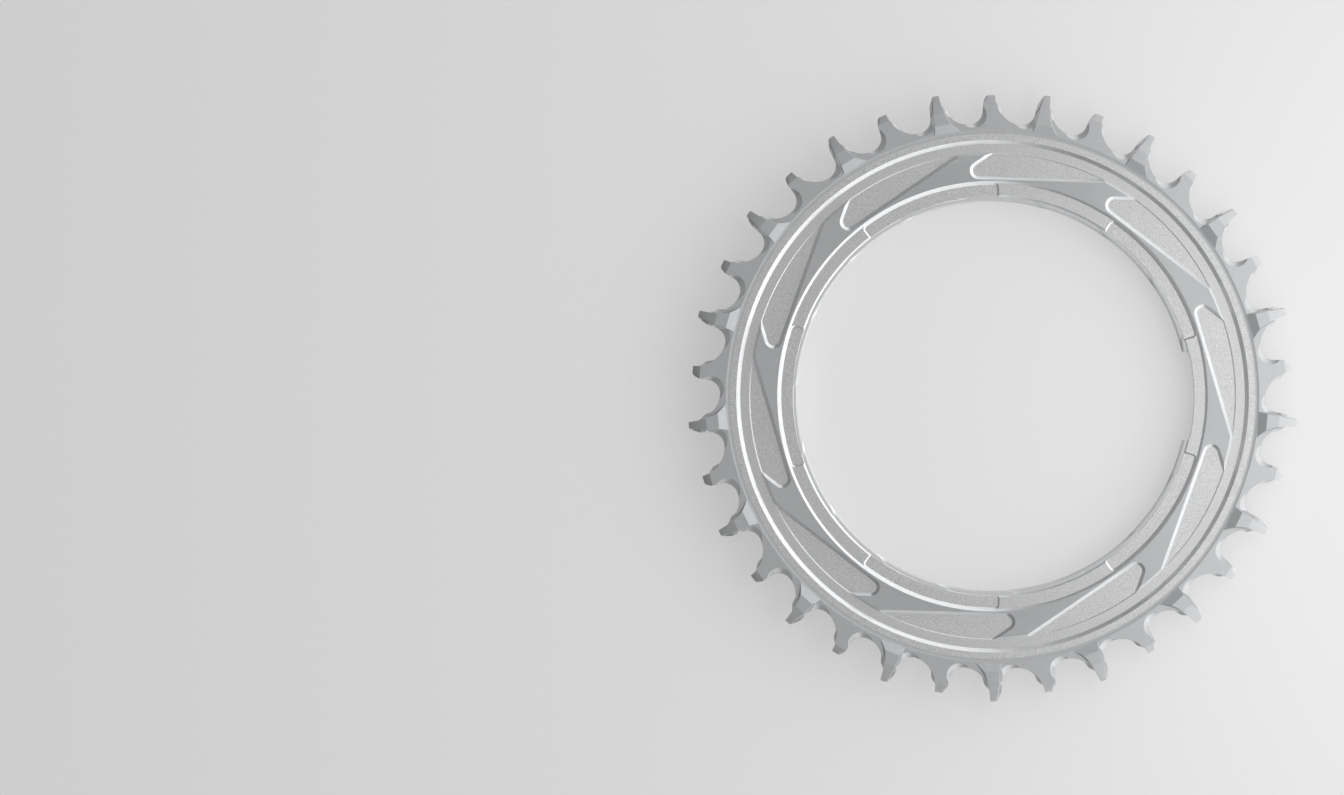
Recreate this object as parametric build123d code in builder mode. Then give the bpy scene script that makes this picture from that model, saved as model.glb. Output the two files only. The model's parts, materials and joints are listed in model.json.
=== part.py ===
from build123d import *

import math
import os

# Narrow-wide bicycle chainring, machined in one piece. It lies flat on its rear seat face, with the
# axis of the bore along +Z, the relief face upwards and the origin on the axis at the seat.
# Lengths are in millimetres and angles in degrees, counted anticlockwise from +X.

# Chain drive: half-inch pitch, and an even count so that wide and narrow teeth alternate
chain_pitch = 12.7
tooth_count = 34
first_wide_tooth_angle = 16.1

# Tooth form. Heights are measured from the pitch circle, and offsets from the tooth's centre line.
# Each tooth has a steep flank on its anticlockwise side and a stepped flank on the other.
root_depth = 3.98
narrow_tip_height = 2.78
wide_tip_height = 3.78
seat_shift = -0.9
steep_seat_radius = 3.3
steep_seat_arc = 88.0
steep_corner_height = 1.35
steep_corner_offset = 1.88
steep_corner_radius = 0.7
steep_tip_offset = 0.44
stepped_seat_radius = 5.9
stepped_seat_arc = 48.0
stepped_kink_height = -0.28
stepped_kink_offset = 2.24
stepped_shoulder_height = 1.1
stepped_shoulder_offset = 1.03
stepped_tip_offset = 0.66

# Tooth thicknesses, and the bevels that thin both sides of each tip
narrow_thickness = 2.1
wide_thickness = 3.7
narrow_tip_thickness = 0.7
wide_tip_thickness = 1.2
narrow_bevel_width = 1.75
wide_bevel_width = 4.2

# Raised bosses that thicken the wide teeth on both sides
boss_margin = 0.1
boss_ramp_width = 2.1
boss_steep_root = 1.62
boss_steep_pitch = 1.27
boss_steep_tip = 0.5
boss_stepped_foot = 3.9
boss_stepped_root = 2.7
boss_stepped_middle = 1.75
boss_stepped_pitch = 1.13

# Chain guide scoops, bevelled round the steep side of each roller seat in the relief face
scoop_width = 0.85

# Widths of the bands of the relief face, from the tooth roots inwards
tooth_band_width = 1.44
rim_slope_width = 0.95
rim_flat_width = 1.5
web_band_width = 2.2
land_width = 5.85
hub_band_width = 2.8
lead_in_width = 1.06

# Rises and drops between the bands, whose walls are as wide as they are high
hub_height = 6.5
lead_in_drop = 0.45
land_rise = 0.55
web_drop = 0.8
rim_rise = 0.9

# Heights of the two gentle slopes, outside the rim and at the mouth of the bore
tooth_rise = 0.16
lead_in_slope = 0.2

# Slope of the walls round the recesses and pockets
wall_angle = 45.0

# Blade-shaped recesses between the raised lands
blade_count = 10
blade_foot_angle = 16.4
blade_depth = 1.0
blade_strip_width = 0.3
blade_nose_angle = 36.2
blade_nose_reach_angle = 2.6
blade_nose_radius = 2.1

# Shallow pockets in the hub band
hub_pocket_count = 5
hub_pocket_angle = 36.05
hub_pocket_span = 39.7
hub_pocket_depth = 0.35
hub_pocket_corner = 0.6

# Locating notch through the hub, and the shallow relief that faces it
notch_span = 26.0
notch_depth = 1.66
notch_corner_radius = 1.1
relief_depth = 0.25

# Rear face
seat_width = 4.2
hub_back_taper = 0.7
web_thickness = 2.25

# Room by which a cut runs past the surface that it opens
cut_room = 1.0

# Radii of the teeth
half_pitch_angle = 180.0 / tooth_count
wide_tooth_count = tooth_count // 2
first_gap_angle = first_wide_tooth_angle + half_pitch_angle
pitch_radius = chain_pitch / (2 * math.sin(math.radians(half_pitch_angle)))
root_radius = pitch_radius - root_depth
boss_middle_radius = (root_radius + pitch_radius) / 2
narrow_tip_radius = pitch_radius + narrow_tip_height
wide_tip_radius = pitch_radius + wide_tip_height
narrow_bevel_rise = (narrow_thickness - narrow_tip_thickness) / 2
narrow_bevel_angle = math.degrees(math.atan2(narrow_bevel_width, narrow_bevel_rise))

# Levels above the seat face
lead_in_level = hub_height - lead_in_drop
land_level = hub_height + land_rise
web_level = land_level - web_drop
rim_level = web_level + rim_rise
web_back_level = land_level - blade_depth - web_thickness
tooth_front = rim_level + tooth_rise
tooth_back = tooth_front - narrow_thickness
tooth_middle = tooth_front - narrow_thickness / 2
boss_front = tooth_middle + wide_thickness / 2
boss_back = tooth_middle - wide_thickness / 2
above_all = boss_front + cut_room

# Radii of the bands, from the teeth inwards to the bore
tooth_band_inner = root_radius - tooth_band_width
boss_inner = tooth_band_inner + boss_margin
rim_outer = tooth_band_inner - rim_slope_width
rim_inner = rim_outer - rim_flat_width
web_outer = rim_inner - rim_rise
web_inner = web_outer - web_band_width
land_outer = web_inner - web_drop
land_inner = land_outer - land_width
hub_band_outer = land_inner - land_rise
hub_band_inner = hub_band_outer - hub_band_width
lead_in_outer = hub_band_inner - lead_in_drop
bore_radius = lead_in_outer - lead_in_width

# Radii of the rear face
seat_outer = bore_radius + seat_width
web_back_inner = seat_outer + hub_back_taper
web_back_outer = tooth_band_inner - (tooth_back - web_back_level)


# A point placed by its radius and its offset from the centre line of a tooth that stands half a
# pitch clockwise (-1) or anticlockwise (+1) of the middle of the gap
def beside_tooth(radius, offset, side):
    return Vector(radius, offset).rotate(Axis.Z, side * half_pitch_angle)


# The outline of a cut that opens into the bore
def bore_sector(outer_radius, middle_angle, span):
    start_angle = middle_angle - span / 2
    with BuildSketch() as sector:
        with BuildLine():
            outer_edge = CenterArc((0, 0), outer_radius, start_angle, span)
            inner_edge = CenterArc((0, 0), bore_radius - cut_room, start_angle, span)
            Line(outer_edge @ 0, inner_edge @ 0)
            Line(outer_edge @ 1, inner_edge @ 1)
        make_face()
    return sector.sketch


# Turned blank: hub, web and rim, out to the roots of the teeth
with BuildPart() as blank:
    with BuildSketch(Plane.XZ):
        with BuildLine():
            Polyline(
                (rim_outer, rim_level),
                (tooth_band_inner, tooth_front),
                (root_radius, tooth_front),
                (root_radius, tooth_back),
                (tooth_band_inner, tooth_back),
                (web_back_outer, web_back_level),
                (web_back_inner, web_back_level),
                (seat_outer, 0),
                (bore_radius, 0),
                (bore_radius, lead_in_level - lead_in_slope),
                (lead_in_outer, lead_in_level),
                (hub_band_inner, hub_height),
                (hub_band_outer, hub_height),
                (land_inner, land_level),
                (land_outer, land_level),
                (web_inner, web_level),
                (web_outer, web_level),
                (rim_inner, rim_level),
                close=True,
            )
        make_face()
    revolve(axis=Axis.Z)

# Plate that all the teeth are cut from: a flat on every tip, bevelled on both sides
with BuildPart() as tooth_plate:
    for side in (-1, 1):
        with BuildSketch(Plane.XY.offset(tooth_middle)):
            RegularPolygon(narrow_tip_radius, tooth_count, major_radius=False, rotation=first_gap_angle)
        extrude(amount=side * narrow_tip_thickness / 2)
        with BuildSketch(Plane.XY.offset(tooth_middle + side * narrow_tip_thickness / 2)):
            RegularPolygon(narrow_tip_radius, tooth_count, major_radius=False, rotation=first_gap_angle)
        extrude(amount=side * narrow_bevel_rise, taper=narrow_bevel_angle)
    Hole(tooth_band_inner)

# The chain guide scoop of one gap, turned about the centre of the steep arc of the roller seat
with BuildPart() as scoop:
    seat_centre = (root_radius + steep_seat_radius, seat_shift, tooth_front)
    with BuildSketch(Plane(origin=seat_centre, x_dir=(-1, 0, 0), z_dir=(0, 1, 0))):
        with BuildLine():
            Polyline(
                (steep_seat_radius + scoop_width + cut_room, cut_room),
                (steep_seat_radius - cut_room, cut_room),
                (steep_seat_radius - cut_room, -scoop_width - cut_room),
                close=True,
            )
        make_face()
    revolve(axis=Axis(seat_centre, (0, 0, 1)), revolution_arc=steep_seat_arc)

# One boss, cut by its outline from a bar with sloping inner and outer faces on both sides
with BuildPart() as boss:
    with BuildSketch():
        with BuildLine():
            Polyline(
                (wide_tip_radius, boss_steep_tip),
                (pitch_radius, boss_steep_pitch),
                (boss_inner, boss_steep_root),
                (boss_inner, -boss_stepped_foot),
                (root_radius, -boss_stepped_root),
                (boss_middle_radius, -boss_stepped_middle),
                (pitch_radius, -boss_stepped_pitch),
                (wide_tip_radius, -boss_stepped_pitch),
                close=True,
            )
        make_face()
    extrude(amount=above_all)
    with BuildSketch(Plane.XZ):
        with BuildLine():
            Polyline(
                (boss_inner, tooth_front),
                (boss_inner + boss_ramp_width, boss_front),
                (wide_tip_radius - wide_bevel_width, boss_front),
                (wide_tip_radius, tooth_middle + wide_tip_thickness / 2),
                (wide_tip_radius, tooth_middle - wide_tip_thickness / 2),
                (wide_tip_radius - wide_bevel_width, boss_back),
                (boss_inner + boss_ramp_width, boss_back),
                (boss_inner, tooth_back),
                close=True,
            )
        make_face()
    extrude(amount=chain_pitch / 2, both=True, mode=Mode.INTERSECT)

# One gap between teeth: the two arcs of the roller seat, a steep flank and a stepped flank
steep_corner = beside_tooth(pitch_radius + steep_corner_height, steep_corner_offset, -1)
stepped_kink = beside_tooth(pitch_radius + stepped_kink_height, -stepped_kink_offset, 1)
stepped_shoulder = beside_tooth(pitch_radius + stepped_shoulder_height, -stepped_shoulder_offset, 1)
with BuildPart() as gap:
    with BuildSketch() as gap_outline:
        with BuildLine():
            steep_seat = CenterArc(
                (root_radius + steep_seat_radius, seat_shift),
                steep_seat_radius,
                180 + steep_seat_arc,
                -steep_seat_arc,
            )
            stepped_seat = CenterArc(
                (root_radius + stepped_seat_radius, seat_shift),
                stepped_seat_radius,
                180,
                -stepped_seat_arc,
            )
            Polyline(
                stepped_seat @ 1,
                stepped_kink,
                stepped_shoulder,
                beside_tooth(wide_tip_radius + cut_room, -stepped_tip_offset, 1),
                beside_tooth(wide_tip_radius + cut_room, steep_tip_offset, -1),
                steep_corner,
                steep_seat @ 0,
            )
        make_face()
        fillet(gap_outline.vertices().sort_by_distance(steep_corner)[0], steep_corner_radius)
    extrude(amount=above_all)

# One blade-shaped recess: a wedge with its long edge square to the radius at the foot angle, a
# rounded nose at its anticlockwise end, and the edge of the web band along its outside
blade_edge_radius = land_inner + blade_strip_width
blade_rim_radius = web_inner + web_drop
blade_far_radius = blade_rim_radius + cut_room
nose_slope = 1 / math.tan(math.radians(blade_nose_angle))
nose_reach = math.radians(blade_nose_reach_angle)
nose_rise = web_inner * math.cos(nose_reach) - blade_edge_radius
nose_tip = web_inner * math.sin(nose_reach) + nose_rise * nose_slope
nose_end = nose_tip - (blade_far_radius - blade_edge_radius) * nose_slope
with BuildPart() as blade:
    with BuildSketch(Plane.XY.offset(land_level)) as blade_outline:
        with BuildLine():
            Polyline(
                (blade_edge_radius, nose_tip),
                (blade_edge_radius, -blade_far_radius),
                (blade_far_radius, -blade_far_radius),
                (blade_far_radius, nose_end),
                close=True,
            )
        make_face()
        nose_corner = blade_outline.vertices().sort_by_distance((blade_edge_radius, nose_tip))[0]
        fillet(nose_corner, blade_nose_radius)
        Circle(blade_rim_radius, mode=Mode.INTERSECT)
    extrude(amount=-blade_depth, taper=wall_angle)

# One shallow pocket across the hub band, open towards the bore
with BuildPart() as hub_pocket:
    with BuildSketch(Plane.XY.offset(hub_height)) as pocket_outline:
        add(bore_sector(hub_band_outer, 0, hub_pocket_span))
        chamfer(pocket_outline.vertices().sort_by_distance((0, 0))[-2:], hub_pocket_corner)
    extrude(amount=-hub_pocket_depth, taper=wall_angle)

# The locating notch, right through the hub
with BuildPart() as notch:
    with BuildSketch() as notch_outline:
        add(bore_sector(bore_radius + notch_depth, 0, notch_span))
        fillet(notch_outline.vertices().sort_by_distance((0, 0))[-2:], notch_corner_radius)
    extrude(amount=above_all)

# The shallow relief in the bore, on the side away from the notch
with BuildPart() as relief:
    with BuildSketch():
        add(bore_sector(bore_radius + relief_depth, 180, notch_span))
    extrude(amount=above_all)

# The finished ring
with BuildPart() as chainring:
    add(blank.part)
    add(tooth_plate.part)
    with PolarLocations(0, tooth_count, start_angle=first_gap_angle):
        add(scoop.part, mode=Mode.SUBTRACT)
    with PolarLocations(0, wide_tooth_count, start_angle=first_wide_tooth_angle):
        add(boss.part)
    with PolarLocations(0, tooth_count, start_angle=first_gap_angle):
        add(gap.part, mode=Mode.SUBTRACT)
    with PolarLocations(0, blade_count, start_angle=blade_foot_angle):
        add(blade.part, mode=Mode.SUBTRACT)
    with PolarLocations(0, hub_pocket_count, start_angle=hub_pocket_angle):
        add(hub_pocket.part, mode=Mode.SUBTRACT)
    add(notch.part, mode=Mode.SUBTRACT)
    add(relief.part, mode=Mode.SUBTRACT)

os.makedirs("parts", exist_ok=True)
chainring.part.label = "chainring"
export_step(chainring.part, "parts/chainring.step")
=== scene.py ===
import json
from math import acos, asin, atan2, cos, pi, radians, sin, sqrt, tan

import bmesh
import bpy
import numpy as np
from bpy.props import FloatProperty, FloatVectorProperty, IntProperty, PointerProperty
from bpy.types import Operator, Panel, PropertyGroup
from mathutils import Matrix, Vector


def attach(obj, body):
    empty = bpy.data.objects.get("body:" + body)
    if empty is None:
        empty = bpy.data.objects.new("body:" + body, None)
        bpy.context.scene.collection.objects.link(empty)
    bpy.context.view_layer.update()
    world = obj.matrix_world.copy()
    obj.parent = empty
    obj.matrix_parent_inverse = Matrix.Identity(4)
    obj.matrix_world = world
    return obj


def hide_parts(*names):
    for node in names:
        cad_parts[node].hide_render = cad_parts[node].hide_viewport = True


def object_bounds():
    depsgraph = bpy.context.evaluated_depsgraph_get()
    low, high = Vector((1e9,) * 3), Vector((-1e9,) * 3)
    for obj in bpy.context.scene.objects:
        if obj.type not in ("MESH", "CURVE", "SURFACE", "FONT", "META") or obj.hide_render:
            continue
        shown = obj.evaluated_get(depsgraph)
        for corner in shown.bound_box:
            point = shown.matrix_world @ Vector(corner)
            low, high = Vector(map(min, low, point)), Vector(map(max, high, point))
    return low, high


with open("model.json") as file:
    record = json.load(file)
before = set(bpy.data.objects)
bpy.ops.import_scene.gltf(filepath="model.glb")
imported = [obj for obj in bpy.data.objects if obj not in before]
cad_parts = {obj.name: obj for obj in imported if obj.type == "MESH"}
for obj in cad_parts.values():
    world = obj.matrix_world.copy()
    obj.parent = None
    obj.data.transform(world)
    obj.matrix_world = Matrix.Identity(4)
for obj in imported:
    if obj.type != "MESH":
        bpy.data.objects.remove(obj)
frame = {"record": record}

bl_info = {
    "name": "Bicycle chainring",
    "version": (1, 0, 0),
    "blender": (4, 5, 0),
    "location": "View3D > Sidebar > Chainring",
    "description": "Builds a narrow-wide chainring with its finishes and a plain studio around it",
    "category": "Object",
}

MM = 0.001
NODE = "chainring"
RING_SLOT = frame["record"]["materials"][0]
CAD_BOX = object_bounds()

# Divisions of the turned faces and of the tools' curves
SEGMENTS_PER_TOOTH = 20
COVE_STEPS = 5
THREAD_ROWS = 44
RAMP_ROWS = 8
BEVEL_STEPS = 4
CONE_STEPS = 64
STEEP_SEAT_STEPS = 14
STEPPED_SEAT_STEPS = 10
BOSS_STEPS = 12
CORNER_STEPS = 8
NOSE_STEPS = 16
BAND_STEPS = 48

# Forms given as shares of the sizes that follow
BEVEL_BULGE = 0.15
GROOVE_STEEPNESS = 1.7
GROOVE_CREST = 0.35
RAMP_RISING = 0.95
RAMP_FALLING = 0.05
RAMP_SUNK = 0.3
SLANT_EVEN = 0.3
SLANT_CURVED = 0.7
BLADE_OVERRUN = 0.4

# Play by which the tools stand clear of the faces that they don't cut
ROOM = 1.0 * MM
SLIVER = 0.02 * MM

# Upright part of a face's normal, by which the finishes tell the faces apart
STEEPEST_WALL = 0.3
GENTLEST_WALL = 0.97
FLAT_LAND = 0.99
GENTLEST_RAMP = 0.9998
UNDERSIDE = -0.5
BORE_MARGIN = 0.15 * MM

SHARP_ANGLE = radians(12.0)
BEVEL_SAMPLES = 4
QUARTER_TURN = 0.25
NODE_STEP = 180.0
WHITE = (1.0, 1.0, 1.0, 1.0)
UP = Vector((0.0, 0.0, 1.0))

# The Mix node's colours and result, which share their names with its other sockets
MIX_FIRST, MIX_SECOND, MIX_RESULT = 6, 7, 2


def number(name, value, description, **kind):
    return FloatProperty(name=name, description=description, default=value, **kind)


def length(name, millimetres, description):
    return number(name, millimetres * MM, description, unit="LENGTH", precision=5)


def angle(name, degrees, description):
    return number(name, radians(degrees), description, subtype="ANGLE")


def share(name, value, description):
    return number(name, value, description, min=0.0, soft_max=1.0, subtype="FACTOR")


def count(name, value, description):
    return IntProperty(name=name, description=description, default=value, min=1)


def colour(name, value, description):
    return FloatVectorProperty(
        name=name, description=description, default=value, size=3, min=0.0, max=1.0, subtype="COLOR"
    )


def named(group, prefix, *names):
    """Settings of a group whose names start alike"""
    return [getattr(group, f"{prefix}_{name}") for name in names]


class ToothSizes(PropertyGroup):
    """The teeth, measured from the pitch circle and from each tooth's centre line"""

    chain_pitch: length("Chain pitch", 12.7, "Distance between the chain's rollers")
    tooth_count: count("Teeth", 34, "Number of teeth, wide and narrow in turn")
    first_wide_angle: angle("First wide tooth", 16.1, "Direction of the first wide tooth")
    root_depth: length("Root depth", 3.98, "Depth of the roots below the pitch circle")
    narrow_tip_height: length("Narrow tip height", 2.78, "Height of a narrow tip over the pitch circle")
    wide_tip_height: length("Wide tip height", 3.78, "Height of a wide tip over the pitch circle")
    seat_shift: length("Seat shift", -0.9, "Sideways shift of a gap's lowest point")
    steep_seat_radius: length("Steep seat radius", 3.3, "Radius of the seat on its steep side")
    steep_seat_arc: angle("Steep seat arc", 88.0, "Arc of the seat on its steep side")
    steep_corner_height: length("Steep corner height", 1.35, "Height of the steep flank's corner")
    steep_corner_offset: length("Steep corner offset", 1.88, "Offset of the steep flank's corner")
    steep_corner_radius: length("Steep corner radius", 0.7, "Rounding of the steep flank's corner")
    steep_tip_offset: length("Steep tip offset", 0.44, "Offset of the steep flank beyond the tip")
    stepped_seat_radius: length("Stepped seat radius", 5.9, "Radius of the seat on its stepped side")
    stepped_seat_arc: angle("Stepped seat arc", 48.0, "Arc of the seat on its stepped side")
    stepped_kink_height: length("Kink height", -0.28, "Height of the kink in the stepped flank")
    stepped_kink_offset: length("Kink offset", 2.24, "Offset of the kink in the stepped flank")
    stepped_shoulder_height: length("Shoulder height", 1.1, "Height of the stepped flank's shoulder")
    stepped_shoulder_offset: length("Shoulder offset", 1.03, "Offset of the stepped flank's shoulder")
    stepped_shoulder_radius: length("Shoulder radius", 0.5, "Rounding of the stepped shoulder")
    stepped_tip_offset: length("Stepped tip offset", 0.66, "Offset of the stepped flank past the tip")
    narrow_thickness: length("Narrow thickness", 2.1, "Thickness of a narrow tooth")
    narrow_tip_thickness: length("Narrow tip thickness", 0.7, "Thickness of a narrow tooth at its tip")
    narrow_bevel_width: length("Narrow bevel", 1.75, "Width of the bevels of a narrow tip")
    narrow_tip_radius: length("Narrow tip radius", 1.1, "Rounding of a narrow tip on its steep side")
    wide_thickness: length("Wide thickness", 3.7, "Thickness of a wide tooth")
    wide_tip_thickness: length("Wide tip thickness", 1.2, "Thickness of a wide tooth at its tip")
    wide_bevel_width: length("Wide bevel", 4.2, "Width of the bevels of a wide tip")
    wide_tip_radius: length("Wide tip radius", 1.0, "Rounding of a wide tip on its steep side")


class BossSizes(PropertyGroup):
    """The raised bosses of the wide teeth and the chain guide scoops beside the gaps"""

    ramp_width: length("Ramp width", 2.1, "Width of the ramp at the foot of a boss")
    steep_root: length("Steep root", 1.62, "Half width of the foot on the steep side")
    steep_pitch: length("Steep pitch", 1.27, "Half width at the pitch circle on the steep side")
    steep_tip: length("Steep tip", 0.5, "Half width at the tip on the steep side")
    stepped_foot: length("Stepped foot", 3.9, "Half width of the foot on the stepped side")
    stepped_middle: length("Stepped middle", 1.72, "Half width between root and pitch circle")
    stepped_pitch: length("Stepped pitch", 1.13, "Half width from the pitch circle outwards")
    draft: angle("Draft", 22.0, "Slope of the side walls of a boss")
    scoop_depth: length("Scoop depth", 1.3, "Depth of the scoops' cones")
    steep_scoop_radius: length("Steep scoop radius", 3.0, "Radius of the scoop on the steep side")
    steep_scoop_height: length("Steep scoop height", -1.85, "Height of the steep scoop's centre")
    steep_scoop_turn: angle("Steep scoop turn", -1.7, "Turn of the steep scoop from the gap's middle")
    stepped_scoop_radius: length("Stepped scoop radius", 3.4, "Radius of the stepped side's scoop")
    stepped_scoop_height: length("Stepped scoop height", 0.8, "Height of the stepped scoop's centre")
    stepped_scoop_turn: angle("Stepped scoop turn", 1.3, "Turn of the stepped scoop from the middle")


class FaceSizes(PropertyGroup):
    """The bands of the relief face from the roots inwards, and the rear face"""

    tooth_band: length("Tooth band", 1.44, "Flat between the roots and the rim's cove")
    rim_cove: length("Rim cove", 0.95, "Width of the cove outside the rim")
    rim_flat: length("Rim", 1.5, "Width of the rim")
    web_band: length("Web band", 2.2, "Width of the band inside the rim")
    land: length("Land", 6.15, "Width of the raised lands")
    hub_band: length("Hub band", 2.8, "Width of the hub band")
    lead_in: length("Lead-in", 1.06, "Width of the ramps into the thread")
    hub_height: length("Hub height", 6.2, "Height of the hub band over the seat face")
    lead_in_drop: length("Lead-in drop", 0.45, "Drop from the hub band to the lead-in")
    land_rise: length("Land rise", 0.55, "Rise from the hub band to the lands")
    web_drop: length("Web drop", 0.5, "Drop from the lands to the web band")
    rim_rise: length("Rim rise", 0.9, "Rise from the web band to the rim")
    tooth_rise: length("Tooth rise", 0.16, "Rise from the rim to the tooth faces")
    seat_width: length("Seat width", 4.2, "Width of the seat on the rear face")
    seat_chamfer: length("Seat chamfer", 0.5, "Chamfers on both sides of the seat")
    back_taper: length("Back taper", 0.7, "Width of the slope from the seat to the web")
    web_thickness: length("Web thickness", 2.25, "Thickness of the web under the blades")


class RecessSizes(PropertyGroup):
    """The blade-shaped recesses, the hub pockets, the notch and the relief that faces it"""

    blade_count: count("Blades", 10, "Number of blade-shaped recesses")
    blade_foot_angle: angle("Blade foot", 16.4, "Direction square to the first blade's long edge")
    blade_depth: length("Blade depth", 0.7, "Depth of the recesses below the lands")
    blade_strip: length("Blade strip", 0.3, "Strip of land inside a blade's long edge")
    blade_nose_angle: angle("Nose angle", 36.2, "Slope of the short edge behind a blade's nose")
    blade_nose_reach: angle("Nose reach", 2.6, "Turn from the foot to the end of the short edge")
    blade_nose_radius: length("Nose radius", 2.1, "Rounding of a blade's nose at the lands")
    blade_floor_radius: length("Nose floor radius", 1.4, "Rounding of a blade's nose at its floor")
    blade_side_wall: length("Side wall", 0.7, "Width of the wall along a blade's long edge")
    blade_nose_wall: length("Nose wall", 0.7, "Width of the wall along a blade's short edge")
    pocket_count: count("Hub pockets", 5, "Number of pockets across the hub band")
    pocket_angle: angle("First pocket", 36.05, "Direction of the first hub pocket")
    pocket_span: angle("Pocket span", 39.7, "Angle across a hub pocket")
    pocket_depth: length("Pocket depth", 0.35, "Depth of a hub pocket")
    pocket_corner: length("Pocket corner", 1.0, "Rounding of a hub pocket's corners")
    notch_span: angle("Notch span", 26.0, "Angle across the notch and across the relief")
    notch_depth: length("Notch depth", 1.66, "Depth of the notch beyond the bore")
    notch_corner: length("Notch corner", 1.1, "Rounding of the notch's corners")
    relief_depth: length("Relief depth", 0.25, "Depth of the relief beyond the bore")
    relief_corner: length("Relief corner", 0.2, "Rounding of the relief's corners")


class ThreadSizes(PropertyGroup):
    """The multi-start thread of the bore and the ramps at its mouth"""

    starts: count("Starts", 18, "Number of starts, each with its own ramp")
    first_start: angle("First start", 17.6, "Direction in which the first ramp ends")
    pitch: length("Thread pitch", 1.0, "Distance between neighbouring grooves")
    depth: length("Thread depth", 0.32, "Depth of the grooves")
    ramp_height: length("Ramp height", 0.25, "Drop of a ramp towards the bore")
    ramp_rise: length("Ramp rise", 0.12, "Rise along a ramp's outer edge")
    crest_rise: length("Crest rise", 0.1, "Widening along a ramp's inner edge")
    slant: angle("Slant", 3.2, "Turn of a ramp's end towards the bore")


class FinishSettings(PropertyGroup):
    """The metal, its finishes and the light painted onto its cut faces"""

    metal: colour("Metal", RING_SLOT["base_color"], "Colour of the bare aluminium")
    edge_radius: length("Edge radius", 0.14, "Rounding of the deburred edges")
    blast_grain: length("Blast grain", 0.26, "Size of the bead-blasted dimples")
    blast_mottle: share("Blast mottle", 0.45, "Change of shade between the dimples")
    blast_roughness: share("Blast roughness", 0.5, "Roughness of the bead-blasted faces")
    groove_pitch: length("Turning pitch", 0.6, "Distance between the lands' turned grooves")
    groove_mottle: share("Turning mottle", 0.3, "Change of shade between the turned grooves")
    groove_spread: share("Turning spread", 0.95, "How far the grooves spread light across them")
    turned_tint: share("Turned tint", 0.8, "Shade of the turned lands, as a share of the metal's")
    turned_roughness: share("Turned roughness", 0.35, "Roughness of the turned lands")
    milled_tint: share("Milled tint", 0.8, "Shade of the milled teeth, as a share of the metal's")
    milled_roughness: share("Milled roughness", 0.47, "Roughness of the milled teeth")
    # This tint over one makes the cut walls and the bore lighter than the metal: painted light on them
    cut_tint: share("Cut tint", 1.08, "Shade of the bright walls, as a share of the metal's")
    cut_roughness: share("Cut roughness", 0.34, "Roughness of the bright walls and the bore")


class StageSettings(PropertyGroup):
    """The floor, the lights and the camera"""

    floor_colour: colour("Floor", (0.5, 0.5, 0.497), "Colour of the floor")
    floor_glow: share("Floor brightness", 0.36, "Light from below through the floor")
    floor_width: length("Floor width", 3000.0, "Width of the floor")
    view_width: length("View width", 319.6, "Width that the camera takes in at the ring")
    view_distance: length("View distance", 4500.0, "Height of the camera over the ring")
    view_left: length("View left", -76.26, "Sideways place of the camera")
    view_down: length("View down", -0.31, "Upright place of the camera")
    key_turn: angle("Key turn", 0.0, "Direction of the key light round the ring")
    key_rise: angle("Key rise", 14.0, "Height of the key light over the horizon")
    key_distance: length("Key distance", 1500.0, "Distance of the key light")
    key_width: length("Key width", 1930.0, "Width of the key light's three panels")
    key_spread: angle("Key spread", 59.0, "Turn between the key light's panels")
    key_height: length("Key height", 860.0, "Height of the key light's panels")
    key_glow: share("Key brightness", 1.56, "Brightness of the key light's panels")
    near_shift: length("Near shift", 240.0, "Shift of the near light towards the key light")
    near_distance: length("Near distance", 130.0, "Height of the near light")
    near_width: length("Near width", 400.0, "Width of the near light")
    near_length: length("Near length", 280.0, "Length of the near light")
    near_glow: share("Near brightness", 0.68, "Brightness of the near light")
    top_shift: length("Top shift", 130.0, "Shift of the top light towards the key light")
    top_distance: length("Top distance", 400.0, "Height of the top light")
    top_width: length("Top width", 940.0, "Width of the top light")
    top_length: length("Top length", 1400.0, "Length of the top light")
    top_glow: share("Top brightness", 0.43, "Brightness of the top light")
    fill_rise: angle("Fill rise", 8.0, "Height of the fill light over the horizon")
    fill_distance: length("Fill distance", 700.0, "Distance of the fill light, opposite the key light")
    fill_width: length("Fill width", 3200.0, "Width of the fill light")
    fill_height: length("Fill height", 250.0, "Height of the fill light")
    fill_glow: share("Fill brightness", 0.2, "Brightness of the fill light")
    sky_glow: share("Sky brightness", 0.1, "Brightness of the even surroundings")


class ChainringSettings(PropertyGroup):
    """All the sizes and finishes of the chainring and its studio"""

    teeth: PointerProperty(type=ToothSizes)
    bosses: PointerProperty(type=BossSizes)
    face: PointerProperty(type=FaceSizes)
    recesses: PointerProperty(type=RecessSizes)
    thread: PointerProperty(type=ThreadSizes)
    finish: PointerProperty(type=FinishSettings)
    stage: PointerProperty(type=StageSettings)


def maths(operation, reflected=False):
    """A method that joins an output socket and another value by a Math node"""

    def method(value, other):
        first, second = (other, value) if reflected else (value, other)
        return value.graph.node("ShaderNodeMath", {"operation": operation}, {0: first, 1: second})

    return method


class Value:
    """An output socket that takes part in Python sums"""

    def __init__(self, graph, socket):
        self.graph = graph
        self.socket = socket

    def output(self, name):
        return Value(self.graph, self.socket.node.outputs[name])

    __add__, __radd__ = maths("ADD"), maths("ADD", True)
    __sub__, __rsub__ = maths("SUBTRACT"), maths("SUBTRACT", True)
    __mul__, __rmul__ = maths("MULTIPLY"), maths("MULTIPLY", True)
    __truediv__, __pow__ = maths("DIVIDE"), maths("POWER")
    __gt__, __lt__ = maths("GREATER_THAN"), maths("LESS_THAN")


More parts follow.
